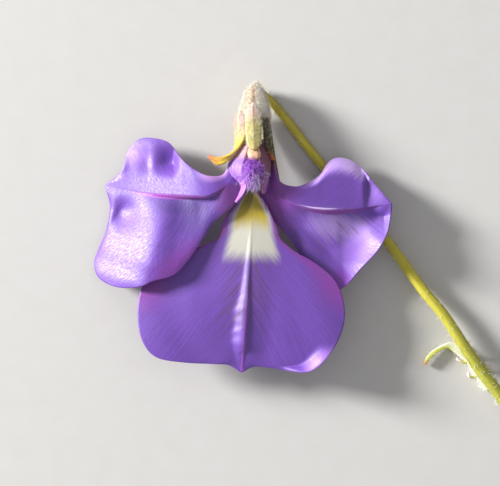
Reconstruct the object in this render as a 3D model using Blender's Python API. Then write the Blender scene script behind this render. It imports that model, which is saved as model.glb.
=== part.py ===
"""A cut lobelia flower about 30 mm across, lying on its back with its stem behind it.

All points are in millimetres, from below the flower's throat: x to the right and y up, as the
open flower is seen from the front, and z the height above the surface that it lies on.
"""

import math

import bmesh
import bpy
import numpy as np
from mathutils import Vector

MM = 0.001
THROAT_X = -5.97  # the throat's place, from an origin under the middle of the whole flower's box
THROAT_Y = 6.6

BLADE_THICKNESS = 0.6
NARROW_WIDTH = 2.0  # across a blade; narrower rows face one way all across
STEM_RADII = (0.42, 0.47, 0.5, 0.55, 0.64)  # from the flower to the cut
STEM_SIDES = 12
OVARY_RADII = (0.3, 0.75, 0.93, 1.03, 1.14, 1.24, 1.3, 1.15, 0.85, 0.4)  # from the stem down
OVARY_SIDES = 20
FILAMENT_RADII = (0.28, 0.32, 0.4, 0.42)
FILAMENT_SIDES = 10
ANTHER_RADII = (0.45, 0.75, 0.8, 0.7, 0.35)
ANTHER_SIDES = 14
TOOTH_RADII = (0.2, 0.17, 0.15, 0.12)
TOOTH_SIDES = 6
RIB_DROOP = 0.2  # how far a sepal's margins fall below its rib
UPPER_LOBE_WIDTHS = (0.4, 0.7, 0.9, 0.9, 0.5)
TONGUE_WIDTHS = (1.2, 1.6, 1.7, 1.6, 0.8)
CURLED_WIDTHS = (1.0, 1.4, 1.4, 1.1, 0.8, 0.6, 0.4)
EDGEWAYS_WIDTHS = (1.0, 1.4, 1.4, 1.0, 0.5)

PETAL_ROWS = 26
PETAL_HALF_COLUMNS = 7
CLAW_ROWS = 5
THROAT_POINT = 2  # a petal's lines reach the throat at this one of their points
STRAP_ROWS = 12
LEAF_ROWS = 22
STRAP_HALF_COLUMNS = 3
CURVE_STEPS = 16

VIOLET = (0.24, 0.12, 0.52)
PALE_VIOLET = (0.42, 0.22, 0.70)
MAUVE = (0.20, 0.06, 0.26)
DEEP_VIOLET = (0.22, 0.07, 0.50)
PEACH = (0.72, 0.47, 0.33)
CREAM = (0.74, 0.66, 0.48)
SEPAL_GREEN = (0.58, 0.55, 0.22)
STEM_GREEN = (0.46, 0.45, 0.10)
LEAF_GREEN = (0.60, 0.62, 0.24)
PETAL_ROUGHNESS = 0.6
STEM_ROUGHNESS = 0.55
HAIRY_ROUGHNESS = 0.8


def clear_scene():
    for thing in list(bpy.data.objects):
        bpy.data.objects.remove(thing, do_unlink=True)


def plant_skin(name, colour, roughness):
    material = bpy.data.materials.new(name)
    material.use_nodes = True
    shader = material.node_tree.nodes["Principled BSDF"]
    shader.inputs["Base Color"].default_value = (*colour, 1.0)
    shader.inputs["Roughness"].default_value = roughness
    shader.inputs["Metallic"].default_value = 0.0
    return material


def smooth_curve(points, count, claw_rows=0, throat_point=0):
    """Points spread evenly along a smooth curve through the given ones.

    A petal's claw has its own rows, up to the throat, and its blade has the others.
    """
    knots = np.array(points, float)
    before = 2 * knots[0] - knots[1]
    after = 2 * knots[-1] - knots[-2]
    padded = np.vstack([before, knots, after])
    dense = []
    for a, b, c, d in zip(padded, padded[1:], padded[2:], padded[3:]):
        for t in np.linspace(0, 1, CURVE_STEPS, endpoint=False):
            line = (c - a) * t
            bend = (2 * a - 5 * b + 4 * c - d) * t**2
            twist = (3 * b - a - 3 * c + d) * t**3
            dense.append(b + 0.5 * (line + bend + twist))
    dense.append(knots[-1])
    dense = np.array(dense)
    steps = np.linalg.norm(np.diff(dense, axis=0), axis=1)
    run = np.concatenate([[0], np.cumsum(steps)])
    throat_run = run[throat_point * CURVE_STEPS]
    claw = np.linspace(0, throat_run, claw_rows, endpoint=False)
    rest = np.linspace(throat_run, run[-1], count - claw_rows)
    wanted = np.concatenate([claw, rest])
    return np.column_stack([np.interp(wanted, run, dense[:, k]) for k in range(3)])


def spread(values, rows):
    """A few values from base to tip, read at each row."""
    return np.interp(np.linspace(0, 1, rows), np.linspace(0, 1, len(values)), values)


def add_object(name, mesh, material, flower):
    mesh.materials.append(material)
    mesh.shade_smooth()
    piece = bpy.data.objects.new(name, mesh)
    bpy.context.scene.collection.objects.link(piece)
    piece.parent = flower
    return piece


def blade_grid(lines, rows, half_columns, bows=((0, 0), (0, 0)), claw_rows=0, throat_point=0):
    """A blade's middle surface: rows of points from margin to margin, and its tip.

    The lines are one margin, the rib and the other margin. A bow lifts the middle of a half.
    """
    first, rib, second = [smooth_curve(line, rows + 1, claw_rows, throat_point) for line in lines]
    lifts = []
    for bow in bows:
        lifts.append(np.concatenate([np.zeros(claw_rows), spread(bow, rows + 1 - claw_rows)]))
    grid = []
    for i in range(rows):
        row = []
        for j in range(-half_columns, half_columns + 1):
            margin = first[i] if j < 0 else second[i]
            lift = lifts[0][i] if j < 0 else lifts[1][i]
            t = abs(j) / half_columns
            point = rib[i] * (1 - t) + margin * t
            point[2] += lift * 4 * t * (1 - t)
            row.append(point)
        grid.append(row)
    return np.array(grid), rib[-1]


def blade_normals(grid, tip):
    """The way each point of a blade faces; the points of a narrow row face one way."""
    lengthways = np.gradient(grid, axis=0)
    lengthways[-1] = tip - grid[-2]
    sideways = np.gradient(grid, axis=1)
    normals = np.cross(sideways, lengthways)
    normals /= np.maximum(np.linalg.norm(normals, axis=2, keepdims=True), 1e-9)
    widths = np.linalg.norm(grid[:, -1] - grid[:, 0], axis=1)
    shared = np.clip(1.5 - widths / NARROW_WIDTH, 0, 1)[:, None, None]
    normals = normals * (1 - shared) + normals.mean(axis=1, keepdims=True) * shared
    return normals / np.linalg.norm(normals, axis=2, keepdims=True)


def blade_mesh(name, grid, tip):
    """A closed sheet round a middle surface, with a flat spot where it meets the ground."""
    rows, columns = grid.shape[:2]
    normals = blade_normals(grid, tip)
    tip_normal = normals[-1][columns // 2]
    mesh = bmesh.new()
    skins = []
    for side in (0.5, -0.5):
        offset = BLADE_THICKNESS * side
        points = (grid + normals * offset).reshape(-1, 3)
        points = np.vstack([points, tip + tip_normal * offset])
        points[:, 2] = np.maximum(points[:, 2], 0.0)
        skins.append([mesh.verts.new(Vector(p) * MM) for p in points])
    front, back = skins
    tip_index = rows * columns
    triangles = []
    for i in range(rows - 1):
        for j in range(columns - 1):
            a = i * columns + j
            b = a + columns
            triangles += [(a, a + 1, b + 1), (a, b + 1, b)]
    for j in range(columns - 1):
        a = (rows - 1) * columns + j
        triangles.append((a, a + 1, tip_index))
    for a, b, c in triangles:
        mesh.faces.new((front[a], front[b], front[c]))
        mesh.faces.new((back[a], back[c], back[b]))
    base = list(range(columns))
    one_side = [i * columns + columns - 1 for i in range(1, rows)]
    other_side = [i * columns for i in range(rows - 1, 0, -1)]
    loop = base + one_side + [tip_index] + other_side
    for a, b in zip(loop, loop[1:] + loop[:1]):
        mesh.faces.new((front[a], back[a], back[b]))
        mesh.faces.new((front[a], back[b], front[b]))
    return finished_mesh(name, mesh)


def finished_mesh(name, mesh):
    bmesh.ops.recalc_face_normals(mesh, faces=mesh.faces)
    data = bpy.data.meshes.new(name)
    mesh.to_mesh(data)
    mesh.free()
    return data


def strap_lines(rib, widths, across_base, across_tip, droop):
    """The margins of a narrow blade on each side of its rib, from its widths and its tilt."""
    rows = len(rib)
    rib_points = np.array(rib, float)
    wide = spread(widths, rows)
    margins = ([], [])
    for i, point in enumerate(rib_points):
        part = i / (rows - 1)
        across = np.array(across_base) * (1 - part) + np.array(across_tip) * part
        across /= np.linalg.norm(across)
        lengthways = rib_points[min(i + 1, rows - 1)] - rib_points[max(i - 1, 0)]
        outwards = np.cross(across, lengthways)
        outwards /= np.linalg.norm(outwards)
        sag = outwards * droop * wide[i] / max(widths)
        margins[0].append(point - across * wide[i] / 2 + sag)
        margins[1].append(point + across * wide[i] / 2 + sag)
    return margins[0], rib, margins[1]


def tube_mesh(name, path, radii, sides, rings):
    """A closed round body along a smooth path, with a flat spot where it meets the ground."""
    centres = smooth_curve(path, rings)
    sizes = spread(radii, rings)
    mesh = bmesh.new()
    loops = []
    for i, centre in enumerate(centres):
        ahead = Vector(centres[min(i + 1, rings - 1)] - centres[max(i - 1, 0)]).normalized()
        across = ahead.cross(Vector((0, 0, 1))).normalized()
        upwards = across.cross(ahead)
        loop = []
        for k in range(sides):
            angle = 2 * math.pi * (k + 0.5) / sides
            spoke = across * math.cos(angle) + upwards * math.sin(angle)
            point = Vector(centre) + spoke * sizes[i]
            point.z = max(point.z, 0.0)
            loop.append(mesh.verts.new(point * MM))
        loops.append(loop)
    for one, two in zip(loops, loops[1:]):
        for k in range(sides):
            n = (k + 1) % sides
            mesh.faces.new((one[k], one[n], two[n], two[k]))
    mesh.faces.new(loops[0])
    mesh.faces.new(loops[-1])
    return finished_mesh(name, mesh)


def petal(flower, name, lines, bows, colour):
    """A broad lobe of the lower lip, with its claw, which is its share of the tube."""
    grid, tip = blade_grid(lines, PETAL_ROWS, PETAL_HALF_COLUMNS, bows, CLAW_ROWS, THROAT_POINT)
    skin = plant_skin(name + " skin", colour, PETAL_ROUGHNESS)
    return add_object(name, blade_mesh(name, grid, tip), skin, flower)


def petal_middle(flower):
    """The broadest lobe, nearly flat, with a keel along its rib and a notch at each shoulder."""
    left = [
        (0.1, 5.0, 2.4), (-0.2, 2.6, 3.15), (-0.45, -0.3, 3.75), (-1.6, -1.5, 3.75),
        (-2.7, -3.1, 3.7), (-2.9, -4.2, 3.7), (-3.4, -5.0, 3.6), (-4.9, -5.6, 3.5),
        (-7.4, -6.6, 3.3), (-9.8, -8.4, 2.9), (-10.9, -10.0, 2.7), (-11.25, -12.4, 3.1),
        (-10.8, -15.0, 3.3), (-9.4, -16.7, 3.3), (-6.6, -17.25, 3.3), (-3.6, -17.4, 3.2),
        (-2.2, -17.5, 3.1), (-0.85, -18.3, 3.0),
    ]
    rib = [
        (0.4, 5.0, 2.35), (0.3, 2.6, 3.1), (0.1, 0.0, 3.8), (0.1, -3.9, 4.0), (-0.1, -7.4, 4.0),
        (-0.3, -10.9, 4.1), (-0.6, -15.0, 3.8), (-0.85, -18.3, 3.0),
    ]
    right = [
        (0.7, 5.0, 2.4), (0.8, 2.6, 3.15), (0.75, -0.1, 3.75), (1.5, -1.2, 3.75),
        (2.3, -2.9, 3.75), (2.9, -3.9, 3.75), (3.3, -4.8, 3.75), (4.7, -6.2, 3.75),
        (6.5, -7.3, 3.75), (8.4, -8.9, 3.8), (9.3, -10.9, 3.9), (9.45, -13.0, 4.0),
        (8.8, -15.1, 4.0), (7.6, -16.9, 3.9), (6.1, -18.1, 3.4), (4.4, -18.15, 3.1),
        (2.0, -17.8, 3.0), (0.35, -17.7, 3.0), (-0.85, -18.3, 3.0),
    ]
    bow = (0, 0, -0.1, -0.2, -0.1, 0)
    return petal(flower, "petal_middle", (left, rib, right), (bow, bow), VIOLET)


def petal_left(flower):
    """The left side lobe, folded along its rib, in front of the middle lobe."""
    lower = [
        (-0.4, 5.0, 2.75), (-1.2, 2.8, 3.1), (-1.3, -0.4, 4.6), (-1.9, -1.8, 4.75),
        (-3.5, -3.2, 4.75), (-4.7, -4.9, 4.7), (-6.2, -7.1, 4.6), (-7.6, -8.5, 4.5),
        (-9.6, -9.1, 4.1), (-11.1, -9.7, 3.6), (-13.4, -9.7, 1.6), (-15.2, -8.8, 0.35),
        (-15.7, -7.3, 0.15), (-15.2, -5.8, 0.5), (-14.5, -4.1, 0.8), (-14.1, -1.7, 0.75),
        (-14.6, 0.5, 0.5),
    ]
    rib = [
        (-0.45, 5.0, 3.0), (-1.45, 2.9, 3.5), (-1.9, 0.9, 4.3), (-3.9, -0.5, 5.0),
        (-5.4, -0.6, 4.8), (-7.5, -0.5, 3.9), (-10.0, -0.3, 2.7), (-12.5, 0.1, 1.5),
        (-14.6, 0.5, 0.5),
    ]
    upper = [
        (-0.5, 5.0, 3.25), (-1.6, 3.0, 3.8), (-2.5, 1.2, 4.2), (-4.2, 1.4, 4.6), (-5.8, 2.2, 4.0),
        (-7.0, 3.3, 3.2), (-8.2, 4.8, 2.4), (-9.9, 5.2, 1.5), (-11.2, 5.1, 0.95),
        (-12.3, 3.9, 0.7), (-12.9, 2.0, 0.75), (-14.6, 0.5, 0.5),
    ]
    bows = ((0, 0.2, 0.4, 0.5, 0.7, 0.6, 0), (0, -0.1, 0))
    return petal(flower, "petal_left", (lower, rib, upper), bows, PALE_VIOLET)


def petal_right(flower):
    """The right side lobe, folded along its rib, behind the middle lobe."""
    lower = [
        (1.2, 5.0, 2.75), (1.65, 2.8, 3.05), (1.9, -0.2, 3.0), (2.5, -2.4, 2.9),
        (3.6, -4.5, 2.75), (4.6, -6.1, 2.6), (5.6, -7.8, 2.6), (7.0, -9.3, 2.6),
        (8.6, -10.0, 2.7), (9.7, -9.5, 3.0), (11.1, -7.9, 3.5), (12.7, -6.1, 4.0),
        (13.7, -4.3, 3.8), (14.1, -2.5, 3.3), (14.2, -1.35, 3.6),
    ]
    rib = [
        (1.25, 5.0, 3.0), (2.0, 2.9, 3.4), (2.6, 0.4, 3.9), (4.2, -1.3, 4.3), (7.2, -2.0, 4.2),
        (10.2, -1.9, 3.7), (11.6, -1.7, 3.5), (12.8, -1.5, 3.5), (14.2, -1.35, 3.6),
    ]
    upper = [
        (1.3, 5.0, 3.25), (2.15, 3.0, 3.65), (2.9, 1.0, 4.0), (4.4, 0.35, 4.1), (5.8, 0.7, 3.9),
        (7.1, 1.6, 3.6), (7.9, 2.8, 3.2), (8.9, 3.25, 3.0), (10.3, 2.9, 2.9), (11.4, 2.0, 3.0),
        (12.5, 0.6, 3.4), (14.2, -1.35, 3.6),
    ]
    bows = ((0, 0, -0.4, -0.8, -0.6, 0), (0, -0.1, 0))
    return petal(flower, "petal_right", (lower, rib, upper), bows, VIOLET)


def upper_lobes(flower):
    """The two small upper lobes, which stand on each side of the anthers."""
    lobes = [
        (
            "petal_upper_left", PALE_VIOLET, 1,
            [(-0.2, 4.9, 3.85), (-0.75, 3.7, 4.45), (-1.15, 2.3, 5.0), (-1.4, 0.7, 5.45),
             (-1.6, -1.1, 5.7)],
        ),
        (
            "petal_upper_right", MAUVE, -1,
            [(1.0, 4.9, 3.85), (1.5, 3.7, 4.4), (1.65, 2.3, 4.95), (1.65, 0.8, 5.1),
             (1.5, -0.5, 5.25)],
        ),
    ]
    for name, colour, side, rib in lobes:
        lines = strap_lines(rib, UPPER_LOBE_WIDTHS, (0.9, 0, 0.4 * side), (0.5, 0, 0.85 * side), 0.0)
        grid, tip = blade_grid(lines, STRAP_ROWS, STRAP_HALF_COLUMNS)
        skin = plant_skin(name + " skin", colour, PETAL_ROUGHNESS)
        add_object(name, blade_mesh(name, grid, tip), skin, flower)


def filament_tube(flower):
    """The five filaments, grown into one tube that bends out of the slit above the throat."""
    path = [(0.4, 4.5, 3.4), (0.45, 4.0, 3.8), (0.5, 3.55, 4.45), (0.45, 3.05, 4.95)]
    mesh = tube_mesh("filament_tube", path, FILAMENT_RADII, FILAMENT_SIDES, 8)
    return add_object("filament_tube", mesh, plant_skin("filaments", PEACH, STEM_ROUGHNESS), flower)


def anther_tube(flower):
    """The five anthers, grown into one blunt tube that hangs over the throat."""
    path = [(0.35, 2.6, 5.35), (0.27, 2.0, 5.55), (0.17, 1.0, 5.6), (0.07, 0.05, 5.35)]
    mesh = tube_mesh("anther_tube", path, ANTHER_RADII, ANTHER_SIDES, 10)
    return add_object("anther_tube", mesh, plant_skin("anthers", DEEP_VIOLET, HAIRY_ROUGHNESS), flower)


def ovary(flower):
    """The seed case between the stem and the calyx."""
    path = [(0.6, 10.65, 2.1), (0.5, 9.5, 2.35), (0.4, 8.3, 2.5), (0.4, 7.2, 2.7)]
    mesh = tube_mesh("ovary", path, OVARY_RADII, OVARY_SIDES, 16)
    return add_object("ovary", mesh, plant_skin("ovary skin", CREAM, HAIRY_ROUGHNESS), flower)


def sepals(flower):
    """The five lobes of the calyx: stiff straps with a raised rib, which hug the tube."""
    straps = [
        (
            "sepal_front", TONGUE_WIDTHS, (1, 0, 0), (1, 0, 0),
            [(0.4, 7.75, 4.35), (0.4, 6.9, 4.6), (0.4, 5.7, 4.9), (0.42, 4.6, 5.15),
             (0.45, 3.9, 5.3)],
        ),
        (
            "sepal_left", CURLED_WIDTHS, (0.35, 0, 0.94), (0.1, 0.4, 0.9),
            [(-1.15, 7.7, 3.05), (-1.3, 6.5, 3.3), (-1.45, 5.2, 3.5), (-1.9, 4.2, 3.8),
             (-2.7, 3.3, 4.1), (-3.5, 3.0, 4.3), (-4.15, 3.3, 4.4)],
        ),
        (
            "sepal_right", EDGEWAYS_WIDTHS, (0.35, 0, -0.94), (0.35, 0, -0.94),
            [(1.95, 7.7, 3.05), (2.1, 6.5, 3.3), (2.3, 5.2, 3.5), (2.65, 4.0, 3.8),
             (2.85, 3.0, 4.1)],
        ),
        (
            "sepal_back_left", TONGUE_WIDTHS, (0.9, 0, -0.4), (0.95, 0, -0.3),
            [(-0.5, 7.7, 1.2), (-0.8, 6.5, 1.3), (-1.2, 5.0, 1.55), (-1.8, 3.0, 1.9),
             (-2.5, 1.0, 2.3)],
        ),
        (
            "sepal_back_right", TONGUE_WIDTHS, (0.9, 0, 0.4), (0.95, 0, 0.3),
            [(1.3, 7.7, 1.2), (1.7, 6.5, 1.3), (2.1, 5.0, 1.55), (2.6, 2.8, 1.8),
             (3.0, 0.6, 2.2)],
        ),
    ]
    for name, widths, across_base, across_tip, rib in straps:
        lines = strap_lines(rib, widths, across_base, across_tip, RIB_DROOP)
        grid, tip = blade_grid(lines, STRAP_ROWS, STRAP_HALF_COLUMNS)
        skin = plant_skin(name + " skin", SEPAL_GREEN, HAIRY_ROUGHNESS)
        add_object(name, blade_mesh(name, grid, tip), skin, flower)


def stem(flower):
    """The stem, which runs up behind the right petal and hooks round to the ovary."""
    path = [
        (1.05, 9.75, 0.78), (1.6, 9.5, 0.47), (2.6, 8.5, 0.4), (4.0, 6.8, 0.4), (5.6, 4.7, 0.46),
        (7.6, 2.2, 0.52), (10.4, -1.3, 0.7), (13.6, -4.8, 0.95), (17.2, -9.7, 1.25),
        (19.7, -12.8, 1.42), (22.5, -17.1, 1.56), (25.0, -20.4, 1.66), (27.4, -23.5, 1.7),
    ]
    mesh = tube_mesh("stem", path, STEM_RADII, STEM_SIDES, 40)
    return add_object("stem", mesh, plant_skin("stem skin", STEM_GREEN, STEM_ROUGHNESS), flower)


def leaf(flower):
    """The small leaf behind the stem, which the stem rests on, with its tip bent aside."""
    inner = [
        (23.6, -20.1, 0.3), (22.75, -18.8, 0.3), (22.0, -17.5, 0.3), (21.3, -16.9, 0.3),
        (20.4, -16.2, 0.35), (19.9, -15.95, 0.4), (19.2, -16.2, 0.5), (18.4, -16.75, 0.6),
        (17.6, -17.6, 0.5),
    ]
    rib = [
        (23.9, -20.2, 0.3), (22.9, -18.6, 0.3), (21.8, -17.0, 0.3), (20.8, -15.9, 0.32),
        (19.9, -15.65, 0.4), (19.2, -15.95, 0.5), (18.4, -16.5, 0.6), (17.9, -17.1, 0.6),
        (17.6, -17.6, 0.5),
    ]
    outer = [
        (24.1, -19.9, 0.3), (23.6, -18.2, 0.3), (22.8, -16.8, 0.3), (21.6, -15.6, 0.3),
        (20.6, -15.35, 0.35), (19.9, -15.4, 0.4), (19.2, -15.7, 0.5), (18.4, -16.2, 0.6),
        (17.8, -16.85, 0.6), (17.6, -17.6, 0.5),
    ]
    grid, tip = blade_grid((inner, rib, outer), LEAF_ROWS, STRAP_HALF_COLUMNS)
    skin = plant_skin("leaf skin", LEAF_GREEN, PETAL_ROUGHNESS)
    piece = add_object("leaf", blade_mesh("leaf", grid, tip), skin, flower)
    return join_teeth(piece, leaf_teeth(flower))


def leaf_teeth(flower):
    """The four curled teeth that stand out from the leaf's margins, two on each side."""
    paths = [
        [(22.3, -17.3, 0.35), (21.6, -17.35, 0.4), (21.2, -17.2, 0.45), (20.8, -16.95, 0.5)],
        [(23.1, -18.6, 0.35), (22.6, -18.85, 0.4), (22.2, -18.8, 0.45), (21.98, -18.35, 0.5)],
        [(23.2, -18.0, 0.35), (23.85, -18.05, 0.4), (24.05, -17.65, 0.45), (23.7, -17.3, 0.5)],
        [(22.5, -16.9, 0.35), (23.0, -16.75, 0.4), (22.95, -16.5, 0.45), (22.75, -16.4, 0.5)],
    ]
    teeth = bpy.data.collections.new("teeth")
    bpy.context.scene.collection.children.link(teeth)
    for path in paths:
        tooth = bpy.data.objects.new("tooth", tube_mesh("tooth", path, TOOTH_RADII, TOOTH_SIDES, 6))
        tooth.parent = flower
        teeth.objects.link(tooth)
    return teeth


def join_teeth(piece, teeth):
    """One body of the leaf and its teeth."""
    union = piece.modifiers.new("teeth", "BOOLEAN")
    union.operation = "UNION"
    union.operand_type = "COLLECTION"
    union.collection = teeth
    union.solver = "EXACT"
    bpy.context.view_layer.update()
    evaluated = piece.evaluated_get(bpy.context.evaluated_depsgraph_get())
    joined = bpy.data.meshes.new_from_object(evaluated)
    piece.modifiers.clear()
    piece.data = joined
    for tooth in list(teeth.objects):
        bpy.data.objects.remove(tooth, do_unlink=True)
    bpy.data.collections.remove(teeth)
    return piece


def lobelia():
    clear_scene()
    flower = bpy.data.objects.new("flower", None)
    flower.location = (THROAT_X * MM, THROAT_Y * MM, 0.0)
    bpy.context.scene.collection.objects.link(flower)
    stem(flower)
    leaf(flower)
    ovary(flower)
    sepals(flower)
    petal_middle(flower)
    petal_left(flower)
    petal_right(flower)
    upper_lobes(flower)
    filament_tube(flower)
    anther_tube(flower)


lobelia()
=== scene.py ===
import math

import bpy
import numpy as np
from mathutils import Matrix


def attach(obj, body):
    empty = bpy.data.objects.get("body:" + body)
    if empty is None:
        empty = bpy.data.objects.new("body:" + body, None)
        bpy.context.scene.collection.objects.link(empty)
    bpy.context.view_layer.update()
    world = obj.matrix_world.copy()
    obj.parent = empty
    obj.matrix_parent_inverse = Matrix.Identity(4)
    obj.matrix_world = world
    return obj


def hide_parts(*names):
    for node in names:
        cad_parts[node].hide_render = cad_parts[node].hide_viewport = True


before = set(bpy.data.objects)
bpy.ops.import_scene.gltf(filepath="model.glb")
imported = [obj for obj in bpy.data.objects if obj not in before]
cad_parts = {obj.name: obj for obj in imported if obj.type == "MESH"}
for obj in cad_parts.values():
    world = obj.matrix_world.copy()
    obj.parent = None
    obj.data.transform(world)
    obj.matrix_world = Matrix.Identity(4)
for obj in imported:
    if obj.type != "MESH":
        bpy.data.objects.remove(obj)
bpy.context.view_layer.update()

# The stem. A slim, juicy green stalk with a thin waxy skin. It runs up behind the flower and hooks
# over at the top, where the flower turns to face out. All points in this file are in millimetres,
# from below the flower's throat: x to the right, y up the flower, z the height above the floor.
MM = 0.001
THROAT = np.array([-5.97, 6.6, 0.0])
STEM_PATH = [
    (0.75, 10.1, 1.35), (1.05, 9.85, 0.85), (1.6, 9.5, 0.5), (2.6, 8.5, 0.42), (4.0, 6.8, 0.42),
    (5.6, 4.7, 0.47), (7.6, 2.2, 0.52), (10.4, -1.3, 0.7), (13.6, -4.8, 0.95), (17.2, -9.7, 1.25),
    (19.7, -12.8, 1.42), (22.5, -17.1, 1.56), (25.0, -20.4, 1.66), (27.4, -23.5, 1.7),
]
STEM_RADII = (0.4, 0.44, 0.47, 0.5, 0.54, 0.6, 0.64)
STEM_RIBS = 5
STEM_RIB_HEIGHT = 0.02
STEM_GREEN = "#C6BA30"
STEM_STREAK = "#D6CB58"
STEM_PAINTED_SHADE = "#86640C"
STEM_LOW = "#A8A740"


def linear(colour):
    """An sRGB hex colour as a linear one with an alpha."""
    values = [int(colour[i : i + 2], 16) / 255 for i in (1, 3, 5)]
    return tuple(v / 12.92 if v < 0.04045 else ((v + 0.055) / 1.055) ** 2.4 for v in values) + (1.0,)


def add_node(tree, kind, sockets, **properties):
    """Adds a shader node. A socket is given a value, or a node or a socket that is linked into it."""
    node = tree.nodes.new("ShaderNode" + kind)
    for name, value in properties.items():
        setattr(node, name, value)
    for name, value in sockets.items():
        if isinstance(name, int):
            socket = node.inputs[name]
        else:
            socket = next(s for s in node.inputs if s.enabled and s.name == name)
        if isinstance(value, bpy.types.Node):
            value = next(s for s in value.outputs if s.enabled)
        if isinstance(value, bpy.types.NodeSocket):
            tree.links.new(value, socket)
        else:
            socket.default_value = value
    return node


def plant_skin(name, shades, streak, washes=(), cell=0.12, relief=0.012, roughness=0.5, glow=0.15,
               sheen=0.0, gloss=0.5, furrow=0.006):
    """A living skin, with its two shades in streaks along the grain and washes of other colours.

    streak is a streak's width and length, cell the width of the skin's bumps, relief their height
    and furrow the depth of the streaks, in mm. A real skin's cells are about 0.03 mm across, too
    fine to show, so the bumps are drawn coarser. A wash is (field of the mesh, colour, where it
    starts, where it is full, how ragged its edge is).
    """
    material = bpy.data.materials.new(name)
    material.use_nodes = True
    tree = material.node_tree
    shader = tree.nodes["Principled BSDF"]
    grain = add_node(tree, "Attribute", {}, attribute_name="grain").outputs["Vector"]
    width, length = streak
    stretched = add_node(tree, "Mapping", {"Vector": grain, "Scale": (1 / width, 1 / width, 1 / length)})
    streaks = add_node(tree, "TexNoise", {"Vector": stretched, "Scale": 1.0, "Detail": 4.0})
    drawn = add_node(tree, "Mapping", {"Vector": grain, "Scale": (1 / cell, 1 / cell, 0.4 / cell)})
    cells = add_node(tree, "TexNoise", {"Vector": drawn, "Scale": 1.0, "Detail": 2.0})
    share = add_node(tree, "MapRange", {"Value": streaks, "From Min": 0.36, "From Max": 0.64})
    colour = add_node(
        tree, "Mix", {"Factor": share, "A": linear(shades[0]), "B": linear(shades[1])}, data_type="RGBA"
    )
    for field, wash, start, full, ragged in washes:
        strength = add_node(tree, "Attribute", {}, attribute_name=field).outputs["Fac"]
        edge = add_node(tree, "Math", {0: streaks, 1: ragged, 2: strength}, operation="MULTIPLY_ADD")
        share = add_node(
            tree, "MapRange",
            {"Value": edge, "From Min": start + ragged / 2, "From Max": full + ragged / 2},
            interpolation_type="SMOOTHSTEP",
        )
        colour = add_node(
            tree, "Mix", {"Factor": share, "A": colour, "B": linear(wash)}, data_type="RGBA"
        )
    tree.links.new(colour.outputs[2], shader.inputs["Base Color"])
    polish = add_node(
        tree, "MapRange",
        {
            "Value": cells, "From Min": 0.3, "From Max": 0.7,
            "To Min": roughness - 0.1, "To Max": roughness + 0.1,
        },
    )
    tree.links.new(polish.outputs[0], shader.inputs["Roughness"])
    furrows = add_node(tree, "Bump", {"Height": streaks, "Strength": 1.0, "Distance": furrow * MM})
    bumps = add_node(
        tree, "Bump", {"Height": cells, "Strength": 1.0, "Distance": relief * MM, "Normal": furrows}
    )
    tree.links.new(bumps.outputs[0], shader.inputs["Normal"])
    shader.inputs["IOR"].default_value = 1.5
    shader.inputs["Specular IOR Level"].default_value = gloss
    shader.inputs["Subsurface Weight"].default_value = glow
    shader.inputs["Subsurface Radius"].default_value = (1.0, 0.7, 1.0)
    shader.inputs["Subsurface Scale"].default_value = 0.4 * MM
    shader.inputs["Sheen Weight"].default_value = sheen
    shader.inputs["Sheen Roughness"].default_value = 0.35
    return material


def smooth_line(points, count, first=0, knot=0):
    """Points spread evenly along a smooth line through the given ones: first up to a knot, then on."""
    knots = np.array(points, float)
    padded = np.vstack([2 * knots[0] - knots[1], knots, 2 * knots[-1] - knots[-2]])
    steps = 24
    dense = []
    for a, b, c, d in zip(padded, padded[1:], padded[2:], padded[3:]):
        for t in np.linspace(0, 1, steps, endpoint=False):
            bend = (2 * a - 5 * b + 4 * c - d) * t**2 + (3 * b - a - 3 * c + d) * t**3
            dense.append(b + 0.5 * ((c - a) * t + bend))
    dense = np.array(dense + [knots[-1]])
    run = np.concatenate([[0], np.cumsum(np.linalg.norm(np.diff(dense, axis=0), axis=1))])
    turn = run[knot * steps]
    wanted = np.concatenate(
        [np.linspace(0, turn, first, endpoint=False), np.linspace(turn, run[-1], count - first)]
    )
    return np.column_stack([np.interp(wanted, run, dense[:, k]) for k in range(knots.shape[1])])


def spread(values, count):
    """A few values read off evenly along a smooth line through them."""
    points = [(i, v) for i, v in enumerate(values)]
    line = smooth_line(points, count * 4)
    return np.interp(np.linspace(0, len(values) - 1, count), line[:, 0], line[:, 1])


def unit(vectors):
    return vectors / np.maximum(np.linalg.norm(vectors, axis=-1, keepdims=True), 1e-9)


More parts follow.
